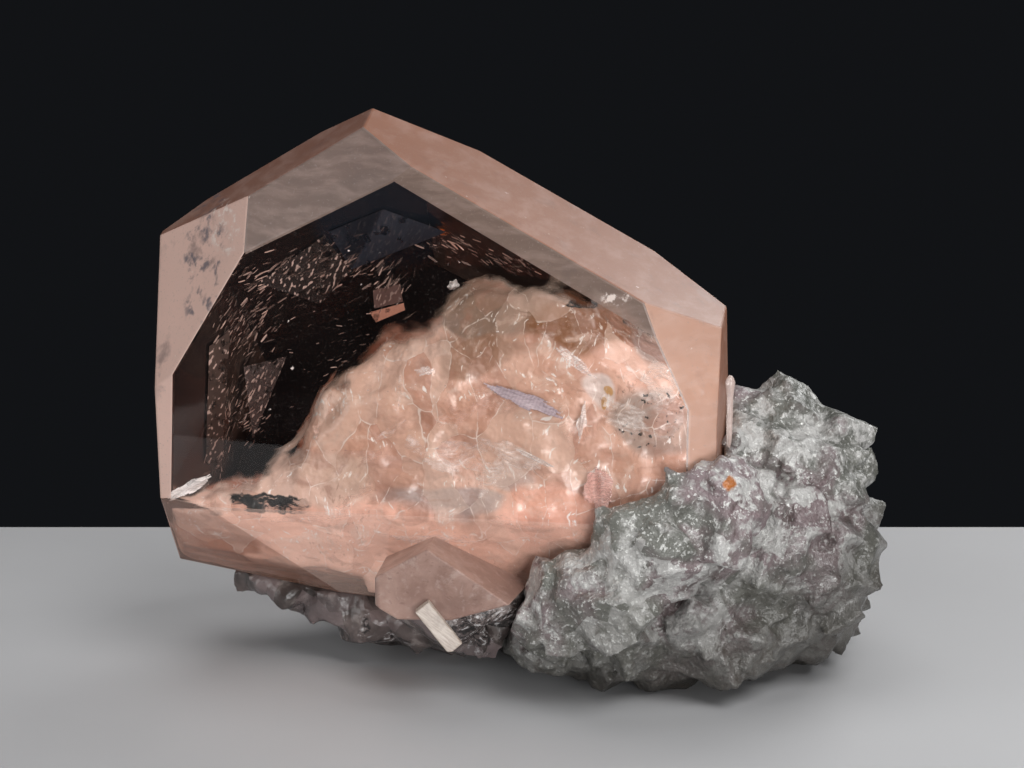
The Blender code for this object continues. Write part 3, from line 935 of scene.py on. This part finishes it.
# How far that edge fades, the clear wall round the heart and how far out its front is, in mm.
CLOUD_FADE = 2.6
CLOUD_WALL = 0.9
CLOUD_FRONT = 12.0
# How much the edge moves to the left and down for each millimetre of depth.
CLOUD_SHIFT = 0.125
CLOUD_SINK = 0.13
# The bites along the edge: how wide and how deep each kind is, in millimetres.
CLOUD_BITES = ((5.5, 3.2), (1.8, 1.3))


def below_cloud_top(places):
    """How far places in the crystal are under the heart's upper edge, in millimetres.

    The edge sinks and shifts to the left with depth, so that the front hides it from the viewer.
    """
    rights, heights = np.array(CLOUD_TOP).T
    depths = CLOUD_FRONT - places[:, 2]
    seen_right = places[:, 0] + CLOUD_SHIFT * depths
    return np.interp(seen_right, rights, heights) - places[:, 1] - CLOUD_SINK * depths


def cloudy_heart():
    """The fractured, cloudy heart of the crystal: its solid with a creased, misty skin."""
    piece = cad_copy("cloudy_heart", "fracture_cloud")
    modify(piece, "REMESH", mode="VOXEL", voxel_size=SKIN_VOXEL * MM)
    modify(piece, "SMOOTH", factor=0.5, iterations=8)
    roughen(piece, "CLOUDS", 0.009, 0.0024, noise_depth=3)
    roughen(piece, "STUCCI", 0.0035, 0.0006)
    points = keep_inside(mesh_points(piece), CLOUD_WALL * MM)
    move_points(piece, points)
    cover = piece.data.attributes.new("cover", "FLOAT", "POINT")
    below = below_cloud_top(crystal_places(points))
    bites = [
        sum(noise.noise(Vector(point) / (wide * MM)) * deep for wide, deep in CLOUD_BITES)
        for point in points
    ]
    cover.data.foreach_set("value", np.clip((below - 0.8 + np.array(bites)) / CLOUD_FADE, 0, 1))
    soft_below(piece, 60)
    return wear(piece, heart_finish(), "peach_cloud", "cloudy_heart")


# A crack's thickness and its least distance from the crystal's faces, in millimetres, and how many
# cells it is drawn with each way.
CRACK_THICKNESS = 0.1
CRACK_INSET = 0.35
CRACK_CELLS = 26


def ragged_sheet(name, centre, facing, spin, width, height, curl, ripple, seed):
    """A thin curved sheet with a ragged edge and fine ripples, as a crack inside a crystal.

    A slender one tapers to its ends. The centre is right, up and outward in the crystal's
    millimetres, and facing is an azimuth and an inclination in degrees.
    """
    bpy.ops.object.select_all(action="DESELECT")
    bpy.ops.mesh.primitive_grid_add(
        x_subdivisions=CRACK_CELLS, y_subdivisions=CRACK_CELLS, size=2
    )
    piece = bpy.context.object
    piece.name = name
    start = Vector((seed * 3.7, seed * 1.3, 0))
    edit(piece)
    ragged = bmesh.from_edit_mesh(piece.data)
    slender = width > 3 * height
    for face in ragged.faces:
        middle = face.calc_center_median()
        if slender:
            middle.y /= max(1 - abs(middle.x) ** 1.6, 0.05)
        edge = 0.74 + 0.42 * noise.noise(middle.normalized() * 1.6 + start)
        edge += 0.12 * noise.noise(middle * 5 + start)
        face.select = middle.length > edge
    bpy.ops.mesh.delete(type="FACE")
    close_edit()
    points = mesh_points(piece)
    waves = np.array([noise.noise(Vector((x * 2, y * 9, 0)) + start) for x, y, z in points])
    bends = np.array([noise.noise(Vector((x, y, 0)) * 1.3 + start) for x, y, z in points])
    across = np.array([width / 2, height / 2, 1.0]) * MM
    points *= across
    piece.data.attributes.new("length", "FLOAT", "POINT").data.foreach_set(
        "value", points[:, 0] / MM
    )
    points[:, 2] = (curl * (points[:, 0] / across[0]) ** 2 + ripple * waves + 1.2 * bends) * MM
    normal = face_normal(*facing)
    level = UP.cross(normal).normalized()
    turned = Matrix.Rotation(math.radians(spin), 3, normal)
    first, second = turned @ level, turned @ normal.cross(level)
    move_points(piece, np.array(in_crystal(*centre)) + points @ np.array([first, second, normal]))
    modify(piece, "SOLIDIFY", thickness=CRACK_THICKNESS * MM, offset=0.0)
    return piece


# Tints of the cracks, and how solid each looks.
PEACH_CRACK = ((0.80, 0.52, 0.42), 0.0)
PALE_CRACK = ((0.86, 0.74, 0.68), 0.05)
SILVER = ((0.42, 0.35, 0.38), 0.75)
WHITE = ((0.98, 0.92, 0.88), 0.26)
ICE = ((0.86, 0.78, 0.72), 0.05)
SNOW = ((1.00, 0.95, 0.92), 0.55)
PINK_BLOCK = ((0.74, 0.44, 0.38), 0.5)

# The cracks: tint, centre, facing and spin, width and height, curl and ripple.
CRACKS = (
    (PEACH_CRACK, (-6.0, -9.0, 11.0), (100, 35), 20, 22, 12, 1.5, 0.35),
    (PALE_CRACK, (4.0, -12.0, 13.6), (80, 18), -15, 16, 7, 0.6, 0.3),
    (PEACH_CRACK, (12.0, -3.0, 12.0), (60, 40), 30, 18, 9, 2.0, 0.4),
    (PEACH_CRACK, (22.0, -9.0, 12.5), (20, 50), 10, 12, 12, 1.5, 0.3),
    (PEACH_CRACK, (-16.0, -20.0, 12.0), (110, 30), 12, 22, 9, 1.2, 0.35),
    (PALE_CRACK, (-2.0, -24.0, 10.6), (90, 20), -8, 24, 7, 0.8, 0.3),
    (PEACH_CRACK, (14.0, -20.0, 11.4), (70, 35), 25, 16, 9, 1.4, 0.35),
    (ICE, (29.0, -6.0, 13.2), (60, 12), -22, 14, 7, 0.6, 0.35),
    (ICE, (33.0, -2.0, 12.4), (40, 22), -30, 9, 6, 0.8, 0.35),
    (PEACH_CRACK, (18.0, 2.0, 12.4), (75, 14), 62, 11, 3.2, 0.6, 0.3),
    (PEACH_CRACK, (6.0, -6.0, 13.4), (75, 14), 40, 12, 4.0, 0.6, 0.3),
    (SILVER, (14.3, -4.7, 14.1), (90, 10), -21, 14.5, 3.2, 0.3, 0.1),
    (WHITE, (21.0, 0.8, 14.0), (60, 16), -38, 8.4, 2.0, 0.9, 0.2),
    (WHITE, (22.0, -7.4, 14.1), (90, 6), 82, 6.4, 1.5, 0.2, 0.15),
    (ICE, (13.0, -12.2, 14.2), (90, 6), -22, 12.5, 3.6, 0.2, 0.3),
    (WHITE, (15.5, -12.6, 14.3), (90, 6), -24, 7.6, 0.9, 0.1, 0.2),
    (ICE, (9.5, -15.4, 14.2), (90, 6), 58, 8.0, 3.4, 0.2, 0.3),
    (PINK_BLOCK, (24.4, -16.6, 14.0), (90, 6), 88, 7.2, 4.4, 0.1, 0.05),
    (SNOW, (-32.8, -18.9, 14.3), (90, 6), 31, 9.6, 2.2, 0.2, 0.2),
    (WHITE, (3.5, 9.8, 6.0), (90, 6), 40, 1.9, 1.5, 0.1, 0.1),
    (WHITE, (0.5, -1.2, 14.0), (90, 6), 10, 3.2, 1.5, 0.1, 0.2),
    (PALE_CRACK, (-4.5, -9.8, 14.0), (90, 6), 35, 6.5, 1.4, 0.1, 0.1),
    (PALE_CRACK, (-3.0, -4.0, 13.8), (90, 6), 88, 6.0, 0.8, 0.1, 0.1),
)


def healed_cracks():
    """The silvery and pale crack planes of the fractured part, joined in one piece."""
    sheets = []
    for index, ((tint, body), *shape) in enumerate(CRACKS):
        sheet = ragged_sheet(f"crack_{index}", *shape, seed=index)
        mark_faces(sheet, "tint", [tint] * len(sheet.data.polygons))
        mark_faces(sheet, "body", [body] * len(sheet.data.polygons))
        sheets.append(sheet)
    piece = join(sheets, "healed_cracks")
    move_points(piece, keep_inside(mesh_points(piece), CRACK_INSET * MM))
    soft_below(piece, 60)
    return wear(piece, crack_finish(), "pink_beryl")


GRAIN_KINDS = 6
GRAIN_CUTS = 4


def grain_shapes():
    """Small crystals, each sawn from a cube: blocks and tablets with cut corners."""
    draw = random.Random(31)
    shapes = []
    for index in range(GRAIN_KINDS):
        piece = new_cube(f"grain_{index}", (0, 0, 0), 1.0)
        stretch = (1.0, draw.uniform(0.6, 0.95), draw.uniform(0.3, 0.8))
        edit(piece)
        bpy.ops.mesh.select_all(action="SELECT")
        bpy.ops.transform.resize(value=stretch, center_override=(0, 0, 0))
        close_edit()
        for cut in range(GRAIN_CUTS):
            way = Vector([draw.choice((-1, 1)) * draw.uniform(0.4, 1) for axis in range(3)])
            way.normalize()
            reach = sum(abs(way[axis]) * stretch[axis] for axis in range(3)) / 2
            slice_off(piece, way * reach * draw.uniform(0.62, 0.8), way)
        shapes.append(piece)
    return shapes


def flake_shape():
    """A thin flake: a cube pressed flat and sawn to a pointed outline."""
    piece = new_cube("flake", (0, 0, 0), 1.0)
    edit(piece)
    bpy.ops.mesh.select_all(action="SELECT")
    bpy.ops.transform.resize(value=(1.0, 0.20, 0.06), center_override=(0, 0, 0))
    close_edit()
    slice_off(piece, (0.1, 0.10, 0), (0.22, 0.97, 0.0))
    slice_off(piece, (-0.2, -0.10, 0), (-0.26, -0.96, 0.0))
    slice_off(piece, (0.42, -0.05, 0), (0.8, -0.6, 0.0))
    return piece


def surface_points(piece, count, draw):
    """Random points on a piece, evenly over its area, each with its face's normal."""
    mesh = piece.data
    mesh.calc_loop_triangles()
    triangles = [t for t in mesh.loop_triangles if t.area > 0]
    picked = draw.choices(triangles, weights=[t.area for t in triangles], k=count)
    for triangle in picked:
        a, b, c = (mesh.vertices[i].co for i in triangle.vertices)
        s, t = draw.random(), draw.random()
        if s + t > 1:
            s, t = 1 - s, 1 - t
        yield a + (b - a) * s + (c - a) * t, triangle.normal.copy()


def scattered(name, spots):
    """Copies of small shapes, each turned, sized and placed, joined in one mesh with a tone."""
    points, faces, tones = [], [], []
    for shape, matrix, tone in spots:
        start = len(points)
        points += [matrix @ vertex.co for vertex in shape.data.vertices]
        faces += [[start + i for i in face.vertices] for face in shape.data.polygons]
        tones += [tone] * len(shape.data.polygons)
    mesh = bpy.data.meshes.new(name)
    mesh.from_pydata(points, [], faces)
    piece = bpy.data.objects.new(name, mesh)
    bpy.context.scene.collection.objects.link(piece)
    mark_faces(piece, "tone", tones)
    return piece


# Where etched flakes lie on the back of the window: centre right and up, how far they spread
# each way, their count, their usual lean in degrees and their size in millimetres.
FLAKE_FIELDS = (
    ((-30.0, 2.0), (6.0, 8.0), 230, 45, 1.0),
    ((-34.0, -13.0), (3.0, 8.0), 170, 80, 0.9),
    ((-22.0, 10.0), (8.0, 4.0), 260, 35, 1.2),
    ((-13.0, 11.0), (6.0, 4.0), 110, 35, 1.2),
    ((-28.5, -11.0), (2.2, 6.0), 170, 50, 0.8),
    ((-8.0, 7.0), (3.0, 3.0), 70, 60, 1.0),
    ((1.0, 14.0), (6.0, 2.5), 90, -25, 1.0),
    ((-16.0, -2.0), (10.0, 8.0), 80, 20, 0.6),
    ((10.0, 12.0), (6.0, 1.6), 90, -30, 1.0),
    ((-0.4, 15.4), (0.5, 0.4), 24, 10, 0.9),
)
# How far out the flakes lie, how far they stray from it, and their least distance from a face.
FLAKE_DEPTH = -15.6
FLAKE_SPREAD = 0.8
FLAKE_INSET = 0.4

# Etched panels on the window's back: tint, how dashed, and outline as right and up in mm.
PANELS = (
    ((0.085, 0.060, 0.055), 1.0, ((-29.7, -5.3), (-23.0, -3.8), (-28.1, -16.0))),
    ((0.640, 0.320, 0.225), 0.0, ((-10.9, 3.0), (-6.0, 4.5), (-5.8, 3.5), (-10.0, 1.6))),
    ((0.150, 0.085, 0.072), 0.4, ((-10.4, 6.2), (-6.5, 7.2), (-6.1, 4.7), (-10.2, 3.6))),
    ((0.080, 0.055, 0.046), 0.8, ((-37.0, 0.0), (-32.6, 1.5), (-32.9, -21.5), (-36.9, -19.0))),
    ((0.022, 0.017, 0.016), 0.8, ((-27.5, 9.0), (-18.0, 16.5), (-13.8, 9.3), (-18.0, 4.0))),
    # This last panel, near-black navy with hardly any dashes, is painted shade of the dark window.
    ((0.010, 0.017, 0.028), 0.04, ((-17.5, 17.0), (-9.5, 20.0), (0.5, 15.5), (-13.6, 9.6))),
)
# How far out the panels lie, the slab that each is sawn from, and half a panel's thickness, in mm.
PANEL_DEPTH = -15.3
PANEL_SLAB = 40.0
PANEL_HALF = 0.05
# How steeply the rows of dashes rise.
DASH_LEAN = math.radians(62)


# The dashes on an etched panel and the bare patches between them.
DASH_PALE = (0.85, 0.66, 0.58)
PATCH_BLACK = (0.020, 0.015, 0.013)


def panel_finish():
    """Etched panels: each in its tint, with rows of pale dashes."""
    place, finish = new_material("etched_panel")
    tint = place.node("Attribute", {"attribute_name": "tint"})
    dashed = place.node("Attribute", {"attribute_name": "dashed"}, output=2)
    lengthwise = place.along(RIGHT * math.cos(DASH_LEAN) + UP * math.sin(DASH_LEAN))
    sideways = place.along(UP * math.cos(DASH_LEAN) - RIGHT * math.sin(DASH_LEAN))
    grain = place.node("CombineXYZ", {}, {0: lengthwise * 0.42, 1: sideways, 2: 0.0})
    dashes = grain.clouds(0.42, 1, 0.5)
    patchy = place.clouds(2.4, 4, 0.6)
    body = (dashes.step(0.58, 0.66) * dashed).blend(tint, DASH_PALE)
    body = (patchy.step(0.52, 0.40) * dashed * 0.7).blend(body, PATCH_BLACK)
    return finish(finish_of(
        place, base_color=body, roughness=0.35 + 0.2 * patchy, ior=1.5,
        alpha=(patchy.step(0.36, 0.44) + (1 - dashed) * 0.3).least(1) * (1 - 0.25 * dashed),
        normal=relief(dashes, 0.12, 0.7),
    ))


def etched_panels():
    """Etched panels on the back of the clear window, each sawn from a thin slab."""
    panels = []
    for index, (tint, dashed, outline) in enumerate(PANELS):
        middle = sum((Vector(corner) for corner in outline), Vector((0, 0))) / len(outline)
        centre = in_crystal(middle.x, middle.y, PANEL_DEPTH)
        panel = new_cube(f"panel_{index}", centre, PANEL_SLAB * MM)
        for side in (1, -1):
            slice_off(panel, centre + OUTWARD * side * PANEL_HALF * MM, OUTWARD * side)
        for start, end in zip(outline, outline[1:] + outline[:1]):
            along = Vector(end) - Vector(start)
            normal = (RIGHT * -along.y + UP * along.x).normalized()
            slice_off(panel, in_crystal(*start, PANEL_DEPTH), normal)
        mark_faces(panel, "tint", [tint] * len(panel.data.polygons))
        mark_faces(panel, "dashed", [dashed] * len(panel.data.polygons))
        panels.append(panel)
    piece = join(panels, "etched_panels")
    move_points(piece, keep_inside(mesh_points(piece), FLAKE_INSET * MM))
    return wear(piece, panel_finish(), "pink_beryl")


def window_flakes():
    """Etched flakes and strokes on the back of the clear window."""
    draw = random.Random(17)
    flake = flake_shape()
    basis = Matrix((RIGHT, UP, OUTWARD)).transposed().to_4x4()
    spots = []
    for (right, up), (wide, tall), count, lean, size in FLAKE_FIELDS:
        for index in range(count):
            place = in_crystal(
                right + draw.gauss(0, wide / 2), up + draw.gauss(0, tall / 2),
                FLAKE_DEPTH + draw.uniform(-FLAKE_SPREAD, FLAKE_SPREAD),
            )
            turn = Matrix.Rotation(math.radians(draw.gauss(lean, 14)), 4, "Z")
            tip = Matrix.Rotation(math.radians(draw.uniform(-30, 30)), 4, "X")
            long = size * draw.uniform(0.4, 1.7) * MM
            scale = Matrix.Diagonal((long, long * draw.uniform(0.35, 0.9), long, 1))
            matrix = Matrix.Translation(place) @ basis @ turn @ tip @ scale
            spots.append((flake, matrix, draw.random()))
    piece = scattered("window_flakes", spots)
    bpy.data.objects.remove(flake)
    move_points(piece, keep_inside(mesh_points(piece), FLAKE_INSET * MM))
    return wear(piece, flake_finish(), "pink_beryl")


# Crystals sown on the cleavelandite: how many, and their least and greatest size in mm.
SOWN = ((420, 4.0, 8.0), (900, 1.4, 3.4))
# The large blocks that stand on its top: centre and edge length in mm.
BLOCKS = (
    ((12.4, -9.0, 36.2), 7.4), ((18.6, -8.5, 34.8), 7.6), ((24.0, -9.0, 32.6), 7.0),
    ((14.0, -15.0, 32.0), 6.6), ((20.5, -16.0, 29.0), 6.4), ((27.0, -12.0, 27.0), 5.6),
    ((8.0, -23.0, 31.0), 5.4),
)


def sow(body, low, high, seed):
    """Crystals half sunk in a body's surface, clear of the big crystal and of the floor."""
    draw = random.Random(seed)
    shapes = grain_shapes()
    spots = []
    for centre, size in BLOCKS:
        turn = Matrix.Rotation(draw.uniform(-0.5, 0.5), 4, "Z") @ Matrix.Rotation(
            draw.uniform(-0.3, 0.3), 4, "X"
        )
        place = Matrix.Translation(Vector(centre) * MM)
        spots.append((shapes[0], place @ turn @ Matrix.Scale(size * MM, 4), 0))
    for count, least, greatest in SOWN:
        for point, normal in surface_points(body, count, draw):
            size = draw.uniform(least, greatest) * MM
            shape = draw.choice(shapes)
            upright = normal.to_track_quat("Z", "Y").to_matrix().to_4x4()
            spin = Matrix.Rotation(draw.uniform(0, math.tau), 4, "Z")
            turn = upright @ spin @ Matrix.Rotation(draw.gauss(0, 0.28), 4, "X")
            half = max(vertex.co.z for vertex in shape.data.vertices)
            centre = point + normal * size * (draw.uniform(0.04, 0.19) - half)
            clear = outside_by(np.array([centre]))[0] > size * 0.55
            inside = all(
                low[i] + size * 0.4 < centre[i] < high[i] - size * 0.4 for i in range(3)
            )
            if clear and inside:
                spots.append((shape, Matrix.Translation(centre) @ turn @ Matrix.Scale(size, 4), 0))
    grains = scattered("grains", spots)
    for shape in shapes:
        bpy.data.objects.remove(shape)
    return grains


def cut_level(piece):
    """Presses all that hangs below the floor's top flat at it."""
    points = mesh_points(piece)
    points[:, 2] = np.maximum(points[:, 2], 0)
    move_points(piece, points)


# Cell sizes, in millimetres, of the bed that the crystals are sown on and of the fused mass.
BED_VOXEL = 0.9
FUSED_VOXEL = 0.44


def matrix_lump():
    """The cleavelandite: its solid, overgrown with small crystals and fused into one mass."""
    body = cad_copy("cleavelandite_matrix", "cleavelandite")
    low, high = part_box("cleavelandite_matrix")
    modify(body, "REMESH", mode="VOXEL", voxel_size=BED_VOXEL * MM)
    modify(body, "SMOOTH", factor=0.5, iterations=5)
    piece = join([body, sow(body, low, high, 8)], "cleavelandite")
    modify(piece, "REMESH", mode="VOXEL", voxel_size=FUSED_VOXEL * MM)
    modify(piece, "SMOOTH", factor=0.5, iterations=2)
    roughen(piece, "CLOUDS", 0.0016, 0.0004, noise_depth=2)
    cut_level(piece)
    soft_below(piece, 50)
    return wear(piece, cleavelandite_finish(), "cleavelandite", "cleavelandite_matrix")


def quartz_lump():
    """The quartz under the big crystal's left end."""
    piece = cad_copy("quartz_base", "grey_quartz")
    modify(piece, "REMESH", mode="VOXEL", voxel_size=SKIN_VOXEL * MM)
    roughen(piece, "VORONOI", 0.006, 0.0012)
    roughen(piece, "CLOUDS", 0.003, 0.0008, noise_depth=2)
    cut_level(piece)
    soft_below(piece, 35)
    return wear(piece, quartz_finish(), "quartz", "quartz_base")


def small_crystal():
    """The small crystal in front of the big one's lower edge."""
    piece = cad_copy("small_morganite_crystal", "small_beryl_crystal")
    melt_flats(piece)
    modify(piece, "BEVEL", width=0.22 * MM, segments=2, limit_method="ANGLE",
           angle_limit=math.radians(10))
    soft_below(piece, 10)
    piece.visible_shadow = False
    return wear(piece, pale_beryl_finish(), "pale_beryl", "small_morganite_crystal")


def white_blade():
    """The white lath that leans on the small crystal."""
    piece = cad_copy("cleavelandite_blade", "white_cleavelandite_blade")
    melt_flats(piece)
    modify(piece, "BEVEL", width=0.15 * MM, segments=2, limit_method="ANGLE",
           angle_limit=math.radians(15))
    soft_below(piece, 15)
    return wear(piece, blade_finish(), "blade", "cleavelandite_blade")


def clear_rod():
    """The thin rod with a knob beside the big crystal."""
    piece = cad_copy("needle_crystal", "clear_rod")
    modify(piece, "SUBSURF", levels=1, render_levels=1)
    soft_below(piece, 60)
    piece.visible_shadow = False
    return wear(piece, rod_finish(), "clear_rod", "needle_crystal")


def board():
    """The pale floor: a thin board with rounded edges."""
    piece = new_cube("floor", (0, 0, 0), 1.0)
    edit(piece)
    bpy.ops.mesh.select_all(action="SELECT")
    bpy.ops.transform.resize(value=BOARD_SIZE, center_override=(0, 0, 0))
    bpy.ops.transform.translate(value=BOARD_MIDDLE)
    close_edit()
    modify(piece, "BEVEL", width=BOARD_ROUNDING, segments=3)
    piece.data.materials.append(floor_finish())
    return piece


def lamp(name, place, aim, size, power):
    """A square soft lamp that faces a point."""
    light = bpy.data.lights.new(name, "AREA")
    light.size = size
    light.energy = power
    piece = bpy.data.objects.new(name, light)
    bpy.context.scene.collection.objects.link(piece)
    place, aim = Vector(place), Vector(aim)
    turn = (aim - place).to_track_quat("-Z", "Y").to_matrix().to_4x4()
    piece.matrix_world = Matrix.Translation(place) @ turn
    return piece


def studio():
    """Camera, soft lamps and dark surroundings."""
    camera = bpy.data.objects.new("camera", bpy.data.cameras.new("camera"))
    bpy.context.scene.collection.objects.link(camera)
    away = Vector((0, -math.cos(CAMERA_ELEVATION), math.sin(CAMERA_ELEVATION)))
    turn = (-away).to_track_quat("-Z", "Y").to_matrix().to_4x4()
    camera.matrix_world = Matrix.Translation(CAMERA_TARGET + away * CAMERA_DISTANCE) @ turn
    camera.data.lens = CAMERA_LENS
    camera.data.clip_start = 0.01
    bpy.context.scene.camera = camera
    for settings in LAMPS:
        lamp(*settings)
    scene = bpy.context.scene
    scene.world = bpy.data.worlds.new("dark_room")
    scene.world.use_nodes = True
    room = scene.world.node_tree.nodes["Background"]
    room.inputs["Color"].default_value = ROOM_TINT
    room.inputs["Strength"].default_value = ROOM_LIGHT
    scene.view_settings.view_transform = "Standard"
    scene.cycles.max_bounces = 8
    scene.cycles.transmission_bounces = 7
    scene.cycles.transparent_max_bounces = 10
    scene.cycles.diffuse_bounces = 2
    scene.cycles.glossy_bounces = 3
    scene.cycles.caustics_reflective = False
    scene.cycles.caustics_refractive = False


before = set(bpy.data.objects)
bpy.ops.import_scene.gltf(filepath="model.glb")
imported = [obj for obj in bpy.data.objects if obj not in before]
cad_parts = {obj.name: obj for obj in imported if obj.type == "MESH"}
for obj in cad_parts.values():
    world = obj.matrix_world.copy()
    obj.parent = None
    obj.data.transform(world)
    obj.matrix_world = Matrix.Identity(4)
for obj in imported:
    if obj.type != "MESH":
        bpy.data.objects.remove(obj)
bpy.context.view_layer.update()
studio()
board()
big_crystal()
cloudy_heart()
healed_cracks()
window_flakes()
etched_panels()
matrix_lump()
quartz_lump()
small_crystal()
white_blade()
clear_rod()
